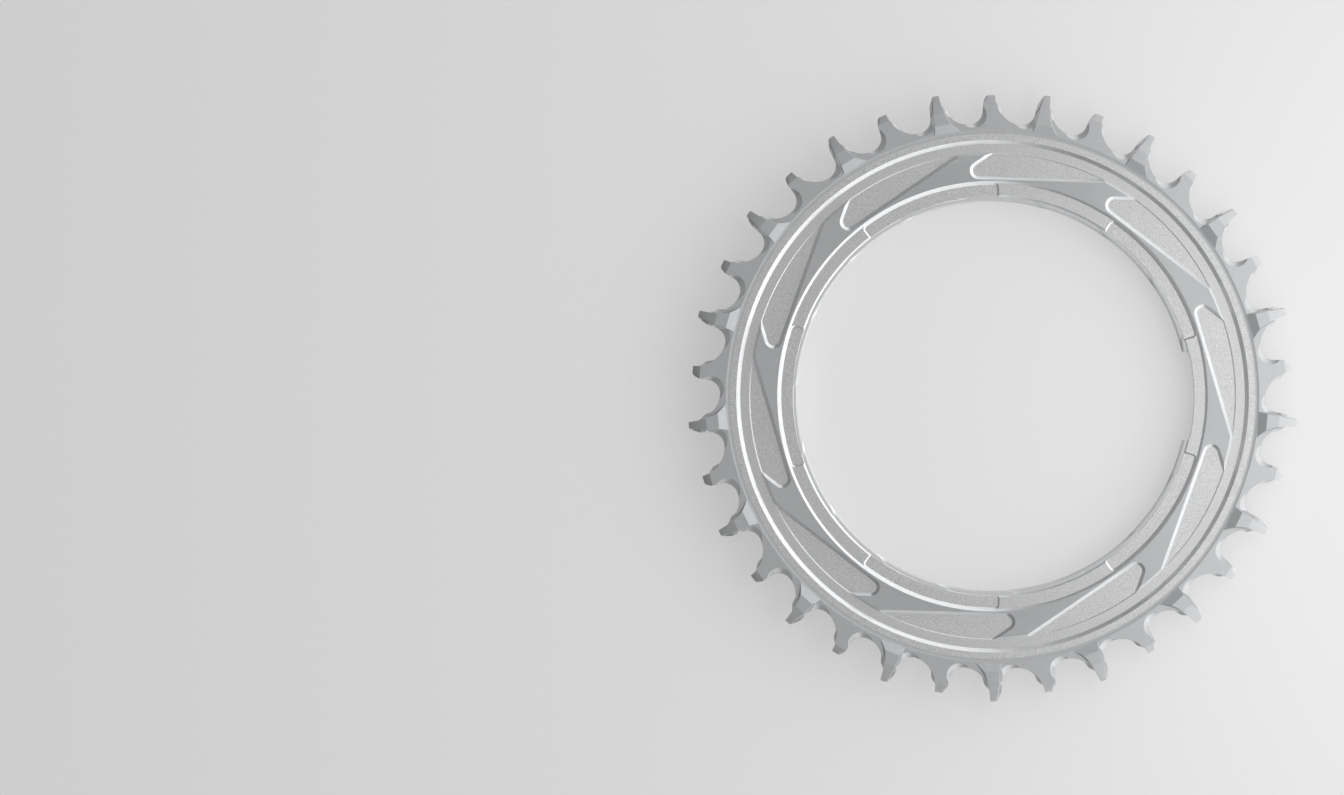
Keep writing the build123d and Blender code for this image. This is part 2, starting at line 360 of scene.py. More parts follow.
class Graph:
    """A node tree whose nodes are each made by one call"""

    def __init__(self, tree):
        self.tree = tree

    def node(self, kind, settings=None, sockets=None, output=0):
        node = self.tree.nodes.new(kind)
        node.location.x = NODE_STEP * len(self.tree.nodes)
        for key, value in (settings or {}).items():
            setattr(node, key, value)
        for key, value in (sockets or {}).items():
            if isinstance(value, Value):
                self.tree.links.new(value.socket, node.inputs[key])
            else:
                node.inputs[key].default_value = value
        return Value(self, node.outputs[output]) if len(node.outputs) else None

    def height_of(self, vector):
        return self.node("ShaderNodeSeparateXYZ", sockets={"Vector": vector}, output="Z")

    def radius_of(self, point):
        parts = self.node("ShaderNodeSeparateXYZ", sockets={"Vector": point})
        return (parts * parts + parts.output("Y") * parts.output("Y")) ** 0.5


def cleared_tree(owner):
    """The node tree of a material or a world, with no nodes in it yet"""
    owner.use_nodes = True
    owner.node_tree.nodes.clear()
    return owner.node_tree


class Metal(Graph):
    """The material of one finish of the bare metal"""

    def __init__(self, name):
        self.material = bpy.data.materials.new(name)
        super().__init__(cleared_tree(self.material))
        self.point = self.node("ShaderNodeTexCoord", output="Object")

    def noise(self, size, detail=2.0):
        sockets = {"Vector": self.point, "Scale": 1.0 / size, "Detail": detail}
        return self.node("ShaderNodeTexNoise", sockets=sockets)

    def lines(self, distance, spacing, detail):
        """Uneven lines that follow each other along a distance"""
        sockets = {"W": distance * (1.0 / spacing), "Detail": detail}
        return self.node("ShaderNodeTexNoise", {"noise_dimensions": "1D"}, sockets)

    def mottled(self, metal, tint, change, pattern):
        """The metal's colour, which a pattern makes a little darker or lighter"""
        dark, light = (
            [min(1.0, tint * channel * shade) for channel in metal] + [1.0]
            for shade in (1.0 - change, 1.0 + change)
        )
        sockets = {"Factor": pattern, MIX_FIRST: dark, MIX_SECOND: light}
        return self.node("ShaderNodeMix", {"data_type": "RGBA"}, sockets, MIX_RESULT)

    def uneven(self, value, size, change):
        """A value that varies a little from place to place"""
        return value + change * (self.noise(size) - 0.5)

    def surface(self, finish, shade, roughness, bump, spread=0.0):
        """The finished material, with its bumps and with deburred edges"""
        edges = self.node("ShaderNodeBevel", {"samples": BEVEL_SAMPLES}, {"Radius": finish.edge_radius})
        shader = self.node(
            "ShaderNodeBsdfPrincipled",
            sockets={
                "Base Color": shade,
                "Roughness": roughness,
                "Metallic": 1.0,
                "Anisotropic": spread,
                "Anisotropic Rotation": QUARTER_TURN,
                "Normal": self.node("ShaderNodeBump", sockets={**bump, "Normal": edges}),
            },
        )
        self.node("ShaderNodeOutputMaterial", sockets={"Surface": shader})
        return self.material


def blasted_metal(finish):
    """Fine round dimples from bead blasting"""
    metal, grain = Metal("blasted_aluminium"), finish.blast_grain
    return metal.surface(
        finish,
        metal.mottled(finish.metal, 1.0, change=finish.blast_mottle, pattern=metal.noise(grain)),
        metal.uneven(finish.blast_roughness, size=12 * grain, change=0.1),
        {"Strength": 0.4, "Distance": 0.2 * grain, "Height": metal.noise(grain, detail=3.0)},
    )


def turned_metal(finish):
    """Concentric grooves left by the turning tool"""
    metal, pitch = Metal("turned_aluminium"), finish.groove_pitch
    radius = metal.radius_of(metal.point)
    streaks, grooves = (metal.lines(radius, pitch / 2, detail) for detail in (1.0, 2.0))
    return metal.surface(
        finish,
        metal.mottled(finish.metal, finish.turned_tint, change=finish.groove_mottle, pattern=streaks),
        metal.uneven(finish.turned_roughness, size=8 * pitch, change=0.06),
        {"Strength": 0.4, "Distance": 0.1 * pitch, "Height": grooves},
        finish.groove_spread,
    )


def milled_metal(finish):
    """Smooth milled faces with a faint trace of the cutter"""
    metal = Metal("milled_aluminium")
    return metal.surface(
        finish,
        metal.mottled(finish.metal, finish.milled_tint, change=0.05, pattern=metal.noise(1.5 * MM)),
        metal.uneven(finish.milled_roughness, size=3.0 * MM, change=0.08),
        {"Strength": 0.12, "Distance": 0.05 * MM, "Height": metal.noise(0.8 * MM, detail=4.0)},
    )


def cut_metal_with_painted_light(finish):
    """Faces cut last of all, with fine lines at even heights, in a lighter colour that is painted light
    """
    metal = Metal("cut_aluminium")
    marks = metal.lines(metal.height_of(metal.point), spacing=0.12 * MM, detail=2.0)
    return metal.surface(
        finish,
        # The cut tint paints light: it lifts the colour above the bare metal's
        metal.mottled(finish.metal, finish.cut_tint, change=0.05, pattern=metal.noise(1.2 * MM)),
        metal.uneven(finish.cut_roughness, size=2.0 * MM, change=0.06),
        {"Strength": 0.2, "Distance": 0.03 * MM, "Height": marks},
    )


class RingGeometry:
    """The ring's sizes, with the radii and levels that follow from them"""

    def __init__(self, settings):
        self.teeth = teeth = settings.teeth
        self.face = face = settings.face
        self.bosses = settings.bosses
        self.recesses = settings.recesses
        self.thread = settings.thread
        self.half_pitch = pi / teeth.tooth_count
        self.first_gap = teeth.first_wide_angle + self.half_pitch
        self.pitch_radius = teeth.chain_pitch / (2 * sin(self.half_pitch))
        self.root = self.pitch_radius - teeth.root_depth
        self.narrow_tip = self.pitch_radius + teeth.narrow_tip_height
        self.wide_tip = self.pitch_radius + teeth.wide_tip_height
        self.flank_reach = teeth.wide_tip_height + ROOM
        self.tooth_band_inner = self.root - face.tooth_band
        self.rim_outer = self.tooth_band_inner - face.rim_cove
        self.rim_inner = self.rim_outer - face.rim_flat
        self.web_outer = self.rim_inner - face.rim_rise
        self.web_inner = self.web_outer - face.web_band
        self.land_outer = self.web_inner - face.web_drop
        self.land_inner = self.land_outer - face.land
        self.hub_outer = self.land_inner - face.land_rise
        self.hub_inner = self.hub_outer - face.hub_band
        self.lead_in_outer = self.hub_inner - face.lead_in_drop
        self.bore = self.lead_in_outer - face.lead_in
        self.lead_in_level = face.hub_height - face.lead_in_drop
        self.land_level = face.hub_height + face.land_rise
        self.web_level = self.land_level - face.web_drop
        self.rim_level = self.web_level + face.rim_rise
        self.blade_floor = self.land_level - self.recesses.blade_depth
        self.web_back = self.blade_floor - face.web_thickness
        self.tooth_front = self.rim_level + face.tooth_rise
        self.tooth_back = self.tooth_front - teeth.narrow_thickness
        self.tooth_middle = self.tooth_front - teeth.narrow_thickness / 2
        self.boss_front = self.tooth_middle + teeth.wide_thickness / 2
        self.boss_back = self.tooth_middle - teeth.wide_thickness / 2
        self.seat_outer = self.bore + face.seat_width
        self.back_inner = self.seat_outer + face.back_taper
        self.back_outer = self.tooth_band_inner - (self.tooth_back - self.web_back)


def heading(turn):
    """Unit vector in a direction round the axis"""
    return np.array((cos(turn), sin(turn)))


def arc(centre, radius, start, end, steps):
    """Points along an arc, with both of its ends"""
    turns = np.linspace(start, end, steps + 1)
    return np.column_stack((centre[0] + radius * np.cos(turns), centre[1] + radius * np.sin(turns)))


def shorter_arc(centre, radius, first, last, steps):
    """Points along the shorter arc from one point to another"""
    start, end = (atan2(*(point - centre)[::-1]) for point in (first, last))
    sweep = (end - start + pi) % (2 * pi) - pi
    return arc(centre, radius, start, start + sweep, steps)


def arc_through(first, middle, last, steps):
    """Points along the arc through three points"""
    first, middle, last = (np.array(point, float) for point in (first, middle, last))
    rows = np.array((middle - first, last - first)) * 2
    right = (middle @ middle - first @ first, last @ last - first @ first)
    centre = np.linalg.solve(rows, right)
    return shorter_arc(centre, np.linalg.norm(first - centre), first, last, steps)


def unit(vector):
    return vector / np.linalg.norm(vector)


def rounded(outline, index, radius, steps=CORNER_STEPS):
    """The outline with one corner replaced by an arc that touches both of its edges"""
    corner = outline[index]
    back = unit(outline[index - 1] - corner)
    ahead = unit(outline[(index + 1) % len(outline)] - corner)
    half = acos(np.clip(back @ ahead, -1, 1)) / 2
    centre = corner + unit(back + ahead) * radius / sin(half)
    reach = radius / tan(half)
    bend = shorter_arc(centre, radius, corner + back * reach, corner + ahead * reach, steps)
    return np.vstack((outline[:index], bend, outline[index + 1 :]))


def grown(outline, distance):
    """The anticlockwise outline moved outwards, with mitred corners"""
    ahead = np.roll(outline, -1, 0) - outline
    ahead /= np.linalg.norm(ahead, axis=1)[:, None]
    normal = np.column_stack((ahead[:, 1], -ahead[:, 0]))
    mean = normal + np.roll(normal, 1, 0)
    return outline + distance * 2 * mean / (mean * mean).sum(1)[:, None]


def closed_mesh(name, points, faces):
    mesh = bpy.data.meshes.new(name)
    mesh.from_pydata(points.tolist(), [], faces)
    shell = bmesh.new()
    shell.from_mesh(mesh)
    bmesh.ops.recalc_face_normals(shell, faces=shell.faces)
    shell.to_mesh(mesh)
    shell.free()
    return mesh


def side_faces(rows, columns, wrap_rows):
    faces = []
    for row in range(rows if wrap_rows else rows - 1):
        low, high = row * columns, (row + 1) % rows * columns
        for column in range(columns):
            following = (column + 1) % columns
            faces.append((low + column, low + following, high + following, high + column))
    return faces


def loft(name, loops):
    """A closed tool through loops of equally many points, capped at both ends"""
    columns = len(loops[0])
    faces = side_faces(len(loops), columns, False)
    faces.append(tuple(range(columns))[::-1])
    faces.append(tuple(range((len(loops) - 1) * columns, len(loops) * columns)))
    return closed_mesh(name, np.vstack(loops), faces)


def stacked(name, *sections):
    """A closed tool through outlines, each with its level"""
    return loft(name, [np.insert(outline, 2, level, axis=1) for outline, level in sections])


def bevel_steps(teeth, kind):
    """Levels down a tip's front bevel and its rear one, each with its part of the way out"""
    full, thin = (size / 2 for size in named(teeth, kind, "thickness", "tip_thickness"))
    parts = np.linspace(0, 1, BEVEL_STEPS + 1)
    bulged = parts + BEVEL_BULGE * (parts**3 - parts)
    front = list(zip(parts, full + (thin - full) * bulged))
    return front + [(part, -level) for part, level in front[::-1]]


def turned_blank(ring):
    """The turned ring with its threaded bore and the plate that all the teeth are cut from"""
    teeth, face, thread = ring.teeth, ring.face, ring.thread
    segments = SEGMENTS_PER_TOOTH * teeth.tooth_count
    turns = ring.first_gap + np.arange(segments) * 2 * pi / segments
    even = np.ones(segments)
    pitch_turn = 2 * ring.half_pitch
    off_tooth = (turns - teeth.first_wide_angle + ring.half_pitch) % pitch_turn - ring.half_pitch
    tip_flat = even / np.cos(off_tooth)
    rows = []

    def turn(radius, level):
        """Adds a row of points, round or with a radius or level for each point"""
        rows.append((even * radius, even * level))

    turn(ring.rim_inner, ring.rim_level)
    cove_height = face.tooth_rise
    cove_radius = (face.rim_cove**2 + cove_height**2) / (2 * cove_height)
    cove_arc = asin(face.rim_cove / cove_radius)
    cove_centre = (ring.rim_outer, ring.rim_level + cove_radius)
    lowest = -pi / 2
    for radius, level in arc(cove_centre, cove_radius, lowest, cove_arc + lowest, COVE_STEPS):
        turn(radius, level)
    for part, level in bevel_steps(teeth, "narrow"):
        reach = ring.narrow_tip - (1 - part) * teeth.narrow_bevel_width
        turn(tip_flat * reach, ring.tooth_middle + level)
    turn(ring.tooth_band_inner, ring.tooth_back)
    turn(ring.back_outer, ring.web_back)
    turn(ring.back_inner, ring.web_back)
    turn(ring.seat_outer, face.seat_chamfer)
    turn(ring.seat_outer - face.seat_chamfer, 0.0)
    turn(ring.bore + face.seat_chamfer, 0.0)

    wall_top = ring.lead_in_level - thread.ramp_height - thread.ramp_rise
    for level in np.linspace(face.seat_chamfer, wall_top, THREAD_ROWS):
        phase = (level / thread.pitch - thread.starts * turns / (2 * pi)) % 1.0
        groove = np.clip(GROOVE_STEEPNESS * (1 - np.abs(2 * phase - 1)) - GROOVE_CREST, 0, 1)
        turn(ring.bore + thread.depth * groove, level)

    start_turn = 2 * pi / thread.starts
    for part in np.linspace(1, 0, RAMP_ROWS):
        lean = thread.slant * (SLANT_EVEN * part + SLANT_CURVED * part**4)
        along = (turns - thread.first_start + lean) / start_turn % 1.0
        rise = np.minimum(along / RAMP_RISING, (1 - along) / RAMP_FALLING) - RAMP_SUNK
        inwards = ring.lead_in_outer - part * face.lead_in
        widening = thread.ramp_rise * (1 - part) + thread.crest_rise * part
        level = ring.lead_in_level - part**2 * thread.ramp_height + thread.ramp_rise * rise
        turn(inwards + widening * rise, level)

    turn(ring.hub_inner, face.hub_height)
    turn(ring.hub_outer, face.hub_height)
    turn(ring.land_inner, ring.land_level)
    turn(ring.land_outer, ring.land_level)
    turn(ring.web_inner, ring.web_level)
    turn(ring.web_outer, ring.web_level)
    across, up = np.cos(turns), np.sin(turns)
    points = [np.column_stack((radii * across, radii * up, levels)) for radii, levels in rows]
    return closed_mesh("blank", np.vstack(points), side_faces(len(rows), segments, True))


def scoop_cone(side, ring):
    """A cone that scoops the tooth faces on the steep or the stepped side of a gap"""
    depth = ring.bosses.scoop_depth
    radius, height, turn = named(ring.bosses, f"{side}_scoop", "radius", "height", "turn")
    centre = (ring.pitch_radius + height) * heading(turn)
    circle = arc(centre, 1.0, 0, 2 * pi, CONE_STEPS)[:-1] - centre
    return stacked(
        f"{side}_scoop",
        (centre + circle * (radius - depth), ring.tooth_front - depth),
        (centre + circle * (radius + ROOM / 2), ring.tooth_front + ROOM / 2),
    )


def steep_flank(ring, height):
    """Offset of the steep flank's outer part at a height over the pitch circle"""
    bottom, offset = named(ring.teeth, "steep_corner", "height", "offset")
    part = (height - bottom) / (ring.flank_reach - bottom)
    return offset + part * (ring.teeth.steep_tip_offset - offset)


def boss_outline(ring):
    """A tapering block with the plan of one boss, widest at the middle of the tooth"""
    teeth, bosses = ring.teeth, ring.bosses
    curve = arc_through(
        (ring.tooth_band_inner, -bosses.stepped_foot),
        ((ring.root + ring.pitch_radius) / 2, -bosses.stepped_middle),
        (ring.pitch_radius + teeth.narrow_tip_height / 4, -bosses.stepped_pitch),
        BOSS_STEPS,
    )
    inside = ring.tooth_band_inner - ROOM
    plan = np.array(
        (
            (ring.wide_tip, bosses.steep_tip),
            (ring.pitch_radius, bosses.steep_pitch),
            (ring.tooth_band_inner, bosses.steep_root),
            (inside, bosses.steep_root),
            (inside, -bosses.stepped_foot),
            *curve,
            (ring.wide_tip, -bosses.stepped_pitch),
        )
    )
    foot = grown(plan, tan(bosses.draft) * (ring.boss_front - ring.tooth_middle))
    foot[0, 0] = foot[-1, 0] = ring.wide_tip
    foot[0, 1] = steep_flank(ring, teeth.wide_tip_height) + SLIVER
    sections = (plan, ring.boss_back), (foot, ring.tooth_middle), (plan, ring.boss_front)
    return stacked("boss_outline", *sections)


def boss_profile(ring):
    """A bar with the sloping inner and outer faces of a boss"""
    teeth, bosses = ring.teeth, ring.bosses
    foot = np.array(
        (
            (ring.tooth_band_inner - SLIVER, teeth.narrow_thickness / 2 - SLIVER / 2),
            (ring.tooth_band_inner + bosses.ramp_width, teeth.wide_thickness / 2),
        )
    )
    bevel = np.array(bevel_steps(teeth, "wide"))
    bevel[:, 0] = ring.wide_tip - (1 - bevel[:, 0]) * teeth.wide_bevel_width
    side = np.vstack((foot, bevel, foot[::-1] * (1, -1))) + (0, ring.tooth_middle)
    across = teeth.chain_pitch / 2
    return loft("boss_profile", [np.insert(side, 1, y, axis=1) for y in (-across, across)])


def gap_tool(ring):
    """The gap between two teeth: two arcs of roller seat, a steep flank and a stepped flank"""
    teeth = ring.teeth

    def beside_tooth(height, offset, side):
        """A point beside the centre line of the tooth on either side of the gap"""
        out = heading(side * ring.half_pitch)
        return (ring.pitch_radius + height) * out + offset * np.array((-out[1], out[0]))

    def seat(radius, start, end, steps):
        centre = (ring.root + radius, teeth.seat_shift)
        return arc(centre, radius, pi + start, pi + end, steps)

    steep = seat(teeth.steep_seat_radius, teeth.steep_seat_arc, 0.0, STEEP_SEAT_STEPS)
    stepped = seat(teeth.stepped_seat_radius, 0.0, -teeth.stepped_seat_arc, STEPPED_SEAT_STEPS)
    outline = np.array(
        (
            *steep,
            *stepped[1:],
            beside_tooth(teeth.stepped_kink_height, -teeth.stepped_kink_offset, 1),
            beside_tooth(teeth.stepped_shoulder_height, -teeth.stepped_shoulder_offset, 1),
            beside_tooth(ring.flank_reach, -teeth.stepped_tip_offset, 1),
            beside_tooth(ring.flank_reach, teeth.steep_tip_offset, -1),
            beside_tooth(teeth.steep_corner_height, teeth.steep_corner_offset, -1),
        )
    )
    outline = rounded(outline, len(outline) - 1, teeth.steep_corner_radius)
    shoulder = len(steep) + len(stepped)
    outline = rounded(outline, shoulder, teeth.stepped_shoulder_radius)[::-1]
    return stacked("gap", (outline, ring.boss_back - ROOM), (outline, ring.boss_front + ROOM))


def tip_tool(kind, ring):
    """Rounds a narrow or wide tip's corner on its steep flank, and the bevels with it"""
    teeth = ring.teeth
    height, bevel_width, corner_radius = named(teeth, kind, "tip_height", "bevel_width", "tip_radius")
    tip = ring.pitch_radius + height
    beside = teeth.chain_pitch / 4
    corner = (tip, steep_flank(ring, height))
    below = (ring.pitch_radius, steep_flank(ring, 0.0))
    bend = rounded(np.array(((tip, -beside), corner, below)), 1, corner_radius)[:-1]
    edge = np.vstack((bend, [(bend[-1, 0], beside)]))
    start = edge.copy()
    start[:, 0] = tip - bevel_width
    flank = steep_flank(ring, height - bevel_width) + SLIVER
    start[1:-1, 1] = np.linspace(bend[1, 1], flank, len(bend) - 1)
    outside = np.array(((tip + ROOM, beside), (tip + ROOM, -beside)))

    def section(part, level):
        plan = np.vstack((start + part * (edge - start) + (SLIVER, 0), outside))
        return plan, ring.tooth_middle + level

    bevel = bevel_steps(teeth, kind)
    clear = bevel[0][1] + ROOM
    steps = (0.0, -clear), *bevel[::-1], (0.0, clear)
    return stacked(f"{kind}_tip", *(section(*step) for step in steps))


def blade_tool(ring):
    """A wedge with sloping walls, a rounded nose and the edge of the web band along its outside"""
    recesses = ring.recesses
    edge = ring.land_inner + recesses.blade_strip
    normal = heading(recesses.blade_nose_angle)
    along = np.array((normal[1], -normal[0]))
    nose_line = ring.web_inner * (normal @ heading(recesses.blade_nose_reach))
    rim = ring.web_inner + ring.face.web_drop + SLIVER

    def outline(part):
        """Plan at the lands for part 0 and at the floor for part 1"""
        x = edge + part * recesses.blade_side_wall
        limit = rim - part * recesses.blade_depth
        offset = nose_line - part * recesses.blade_nose_wall
        corner = np.array((x, (offset - normal[0] * x) / normal[1]))
        ahead = corner @ along
        far = corner + along * (sqrt(ahead**2 - corner @ corner + limit**2) - ahead)
        tail = -acos(x / limit)
        outside = arc((0, 0), limit, tail, atan2(far[1], far[0]), BAND_STEPS)
        plan = np.vstack((outside, [corner]))
        radius = recesses.blade_nose_radius
        radius += part * (recesses.blade_floor_radius - radius)
        return rounded(plan, len(plan) - 1, radius, NOSE_STEPS)

    top = ring.land_level + BLADE_OVERRUN * recesses.blade_depth
    return stacked("blade", (outline(1), ring.blade_floor), (outline(-BLADE_OVERRUN), top))


def bore_sector(ring, outer, span, corner, inset=0.0):
    """Plan of a cut that opens into the bore, with rounded outer corners"""
    ray = heading(-span / 2)
    inward = np.array((-ray[1], ray[0]))
    centre = ray * sqrt((outer - corner) ** 2 - corner**2) + inward * corner
    towards = atan2(centre[1], centre[0])
    bend = arc(centre, corner - inset, -pi / 2 - span / 2, towards, CORNER_STEPS)
    start = ray * (ring.bore - 2 * ROOM) + inward * inset
    mirror = np.array((1, -1))
    outside = arc((0, 0), outer - inset, towards, -towards, BAND_STEPS)[1:-1]
    return np.vstack(([start], bend, outside, bend[::-1] * mirror, [start * mirror]))


def pocket_tool(ring):
    """One shallow pocket across the hub band"""
    recesses, top = ring.recesses, ring.face.hub_height
    outer, depth = ring.hub_outer - SLIVER, recesses.pocket_depth
    floor, mouth = (
        bore_sector(ring, outer, recesses.pocket_span, recesses.pocket_corner, inset)
        for inset in (depth, 0.0)
    )
    return stacked("pocket", (floor, top - depth), (mouth, top), (mouth, top + ROOM))


def bore_cut(name, ring):
    """The notch or the relief, cut right through the bore's wall"""
    depth, corner = named(ring.recesses, name, "depth", "corner")
    plan = bore_sector(ring, ring.bore + depth, ring.recesses.notch_span, corner)
    return stacked(name, (plan, -ROOM), (plan, ring.boss_front + ROOM))


def linked_object(name, mesh):
    piece = bpy.data.objects.new(name, mesh)
    bpy.context.scene.collection.objects.link(piece)
    return piece


class RingTree:
    """The Geometry Nodes tree that cuts the ring with patterns of tools"""

    def __init__(self, tools):
        self.tree = bpy.data.node_groups.new("chainring_cuts", "GeometryNodeTree")
        self.graph = Graph(self.tree)
        self.values = {}
        self.inputs = self.tree.nodes.new("NodeGroupInput")
        self.shape = self.entry("Blank", "NodeSocketGeometry")
        self.tools = {name: self.tool(name, piece) for name, piece in tools.items()}

    def entry(self, name, kind, value=None, subtype=None):
        socket = self.tree.interface.new_socket(name, in_out="INPUT", socket_type=kind)
        if subtype:
            socket.subtype = subtype
        if value is not None:
            self.values[socket.identifier] = value
        return Value(self.graph, self.inputs.outputs[name])

    def tool(self, name, piece):
        source = self.entry(name, "NodeSocketObject", piece)
        return self.graph.node("GeometryNodeObjectInfo", sockets={"Object": source}, output="Geometry")

    def combine(self, operation, first, second):
        """Two shapes joined, met or cut one by the other"""
        result = self.graph.node(
            "GeometryNodeMeshBoolean",
            {"operation": operation, "solver": "MANIFOLD"},
            {"Mesh 1" if operation == "DIFFERENCE" else "Mesh 2": first},
        )
        self.tree.links.new(second.socket, result.socket.node.inputs["Mesh 2"])
        return result

    def pattern(self, name, number, start, operation="DIFFERENCE"):
        """Applies a tool in a number of places round the axis"""
        graph = self.graph
        number = self.entry(f"{name} count", "NodeSocketInt", number)
        start = self.entry(f"{name} start", "NodeSocketFloat", start, "ANGLE")
        index = graph.node("GeometryNodeInputIndex")
        turn = start + index * (2 * pi) / number
        places = graph.node(
            "GeometryNodeInstanceOnPoints",
            sockets={
                "Points": graph.node("GeometryNodePoints", sockets={"Count": number}),
                "Instance": self.tools[name],
                "Rotation": graph.node("ShaderNodeCombineXYZ", sockets={"Z": turn}),
            },
        )
        self.shape = self.combine(operation, self.shape, places)

    def change(self, kind, **sockets):
        self.shape = self.graph.node(kind, sockets={"Geometry": self.shape, **sockets})

    def finish(self, name, material, selection=True):
        source = self.entry(name, "NodeSocketMaterial", material)
        self.change("GeometryNodeSetMaterial", Material=source, Selection=selection)

    def make(self, piece):
        """Runs the tree on a piece and leaves it a plain mesh"""
        self.tree.interface.new_socket("Ring", in_out="OUTPUT", socket_type="NodeSocketGeometry")
        self.graph.node("NodeGroupOutput", sockets={"Ring": self.shape})
        modifier = piece.modifiers.new("Cuts", "NODES")
        modifier.node_group = self.tree
        for identifier, value in self.values.items():
            modifier[identifier] = value
        bpy.context.view_layer.update()
        evaluated = piece.evaluated_get(bpy.context.evaluated_depsgraph_get())
        made = bpy.data.meshes.new_from_object(evaluated)
        piece.modifiers.remove(modifier)
        blank = piece.data
        piece.data = made
        bpy.data.meshes.remove(blank)


class CHAINRING_OT_ring(Operator):
    """Build the chainring in one piece, with all its cuts and finishes"""

    bl_idname = "chainring.ring"
    bl_label = "Chainring"

    def execute(self, context):
        settings = context.scene.chainring
        ring = RingGeometry(settings)
        teeth, recesses = ring.teeth, ring.recesses
        piece = linked_object("chainring_body", turned_blank(ring))
        meshes = {
            "Steep scoop": scoop_cone("steep", ring),
            "Stepped scoop": scoop_cone("stepped", ring),
            "Boss outline": boss_outline(ring),
            "Boss profile": boss_profile(ring),
            "Gap": gap_tool(ring),
            "Narrow tip": tip_tool("narrow", ring),
            "Wide tip": tip_tool("wide", ring),
            "Blade": blade_tool(ring),
            "Pocket": pocket_tool(ring),
            "Notch": bore_cut("notch", ring),
            "Relief": bore_cut("relief", ring),
        }
        tools = {name: linked_object(mesh.name, mesh) for name, mesh in meshes.items()}

        cuts = RingTree(tools)
        every_tooth, every_other = teeth.tooth_count, teeth.tooth_count // 2
        first_wide = teeth.first_wide_angle
        first_narrow = first_wide + 2 * ring.half_pitch
        cuts.pattern("Steep scoop", every_tooth, ring.first_gap)
        cuts.pattern("Stepped scoop", every_tooth, ring.first_gap)
        halves = cuts.tools["Boss outline"], cuts.tools["Boss profile"]
        cuts.tools["Boss"] = cuts.combine("INTERSECT", *halves)
        cuts.pattern("Boss", every_other, first_wide, "UNION")
        cuts.pattern("Gap", every_tooth, ring.first_gap)
        cuts.pattern("Narrow tip", every_other, first_narrow)
        cuts.pattern("Wide tip", every_other, first_wide)
        cuts.pattern("Blade", recesses.blade_count, recesses.blade_foot_angle)
        cuts.pattern("Pocket", recesses.pocket_count, recesses.pocket_angle)
        cuts.pattern("Notch", 1, 0.0)
        cuts.pattern("Relief", 1, pi)
        cuts.change("GeometryNodeRealizeInstances")
        self.set_finishes(cuts, ring, settings.finish)
        cuts.make(piece)

        # This takes the tools' objects away with their meshes
        for mesh in meshes.values():
            bpy.data.meshes.remove(mesh)
        if not piece.data.polygons:
            raise RuntimeError("the cuts left nothing of the ring")
        piece.data.shade_smooth()
        piece.data.set_sharp_from_angle(angle=SHARP_ANGLE)
        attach(piece, "root")
        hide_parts(NODE)
        return {"FINISHED"}

    def set_finishes(self, cuts, ring, finish):
        """Gives each kind of face its finish, found by its place and its slope"""
        graph = cuts.graph
        place = graph.node("GeometryNodeInputPosition")
        radius, height = graph.radius_of(place), graph.height_of(place)
        slope = graph.height_of(graph.node("GeometryNodeInputNormal"))
        # The walls and the bore share the cut finish, whose lighter colour is painted light
        cut = cut_metal_with_painted_light(finish)
        cuts.finish("Blasted finish", blasted_metal(finish))
        cuts.finish("Bright walls", cut, (slope > STEEPEST_WALL) * (slope < GENTLEST_WALL))
        cuts.finish("Milled teeth", milled_metal(finish), radius > ring.rim_outer + SLIVER)
        on_land = (height > ring.land_level - SLIVER) * (height < ring.land_level + SLIVER)
        cuts.finish("Turned lands", turned_metal(finish), on_land * (slope > FLAT_LAND))
        in_bore = radius < ring.lead_in_outer + BORE_MARGIN
        sloping = (slope > UNDERSIDE) * (slope < GENTLEST_RAMP)
        cuts.finish("Threaded bore", cut, in_bore * sloping)


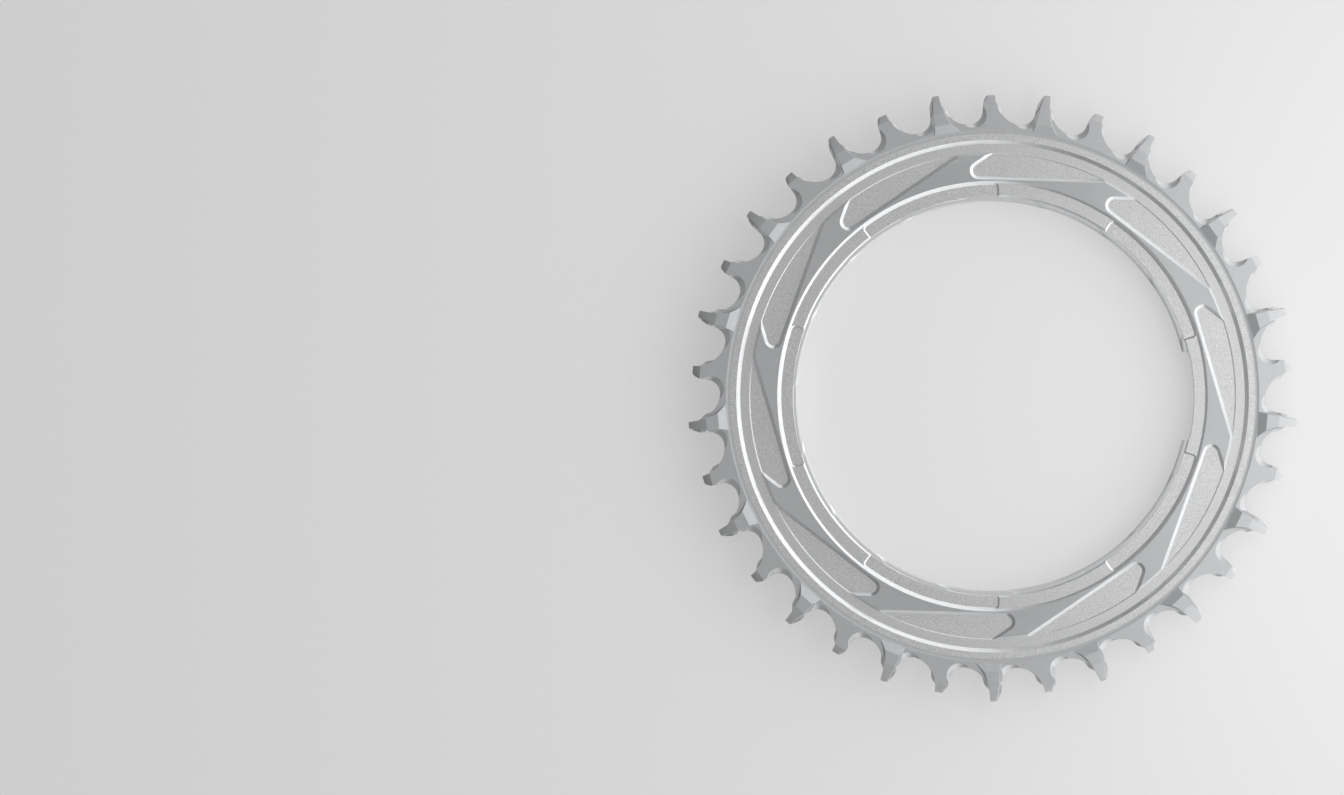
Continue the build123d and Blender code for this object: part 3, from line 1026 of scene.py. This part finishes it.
class CHAINRING_OT_stage(Operator):
    """Set up the floor, the lights and the camera"""

    bl_idname = "chainring.stage"
    bl_label = "Studio"

    def execute(self, context):
        stage = context.scene.chainring.stage
        self.floor(stage)
        self.lights(context, stage)
        self.camera(context, stage)
        return {"FINISHED"}

    def floor(self, stage):
        half = stage.floor_width / 2
        corners = [(-half, -half, 0.0), (half, -half, 0.0), (half, half, 0.0), (-half, half, 0.0)]
        mesh = bpy.data.meshes.new("floor")
        mesh.from_pydata(corners, [], [(0, 1, 2, 3)])
        material = bpy.data.materials.new("floor_paper")
        graph = Graph(cleared_tree(material))
        shader = graph.node(
            "ShaderNodeBsdfPrincipled",
            sockets={
                "Base Color": (*stage.floor_colour, 1.0),
                "Roughness": 0.9,
                "Emission Color": WHITE,
                "Emission Strength": stage.floor_glow,
            },
        )
        graph.node("ShaderNodeOutputMaterial", sockets={"Surface": shader})
        mesh.materials.append(material)
        linked_object("floor", mesh)

    def light_panel(self, name, place, aim, size, glow):
        """A soft panel of even brightness that the camera doesn't see"""
        light = bpy.data.lights.new(name, "AREA")
        light.shape = "RECTANGLE"
        light.size, light.size_y = size
        light.energy = glow * pi * size[0] * size[1]
        lamp = linked_object(name, light)
        lamp.location = place
        lamp.rotation_euler = (aim - place).to_track_quat("-Z", "Y").to_euler()
        lamp.visible_camera = False

    def lights(self, context, stage):
        def away(turn, rise, distance):
            return distance * Vector((*cos(rise) * heading(turn), sin(rise)))

        key_size = (stage.key_width, stage.key_height)
        for panel in (-1, 0, 1):
            turn = stage.key_turn + panel * stage.key_spread
            place = away(turn, stage.key_rise, stage.key_distance)
            self.light_panel(f"key_light_{panel + 2}", place, Vector(), key_size, stage.key_glow)
        place = away(stage.key_turn + pi, stage.fill_rise, stage.fill_distance)
        fill_size = (stage.fill_width, stage.fill_height)
        self.light_panel("fill_light", place, Vector(), fill_size, stage.fill_glow)
        for name in ("near", "top"):
            shift, distance, *size, glow = named(
                stage, name, "shift", "distance", "width", "length", "glow"
            )
            place = away(stage.key_turn, 0.0, shift) + distance * UP
            self.light_panel(f"{name}_light", place, place - UP, size, glow)
        world = bpy.data.worlds.new("studio")
        graph = Graph(cleared_tree(world))
        light = {"Color": WHITE, "Strength": stage.sky_glow}
        sky = graph.node("ShaderNodeBackground", sockets=light)
        graph.node("ShaderNodeOutputWorld", sockets={"Surface": sky})
        context.scene.world = world
        context.scene.view_settings.view_transform = "Standard"

    def camera(self, context, stage):
        lens = bpy.data.cameras.new("camera")
        lens.sensor_fit = "HORIZONTAL"
        lens.lens = lens.sensor_width * stage.view_distance / stage.view_width
        camera = linked_object("camera", lens)
        camera.location = (stage.view_left, stage.view_down, CAD_BOX[1].z + stage.view_distance)
        context.scene.camera = camera


class CHAINRING_PT_panel(Panel):
    """The chainring's settings and the buttons that build it"""

    bl_idname = "CHAINRING_PT_panel"
    bl_label = "Chainring"
    bl_space_type = "VIEW_3D"
    bl_region_type = "UI"
    bl_category = "Chainring"

    def draw(self, context):
        settings = context.scene.chainring
        for operator in (CHAINRING_OT_ring, CHAINRING_OT_stage):
            self.layout.operator(operator.bl_idname)
        for group in ChainringSettings.__annotations__:
            box = self.layout.box()
            box.label(text=group.capitalize())
            sizes = getattr(settings, group)
            for size in type(sizes).__annotations__:
                box.prop(sizes, size)


CLASSES = (
    ToothSizes,
    BossSizes,
    FaceSizes,
    RecessSizes,
    ThreadSizes,
    FinishSettings,
    StageSettings,
    ChainringSettings,
    CHAINRING_OT_ring,
    CHAINRING_OT_stage,
    CHAINRING_PT_panel,
)


def register():
    for kind in CLASSES:
        bpy.utils.register_class(kind)
    bpy.types.Scene.chainring = PointerProperty(type=ChainringSettings)


def unregister():
    del bpy.types.Scene.chainring
    for kind in reversed(CLASSES):
        bpy.utils.unregister_class(kind)


def main():
    register()
    bpy.ops.chainring.ring()
    bpy.ops.chainring.stage()


if __name__ == "__main__":
    main()
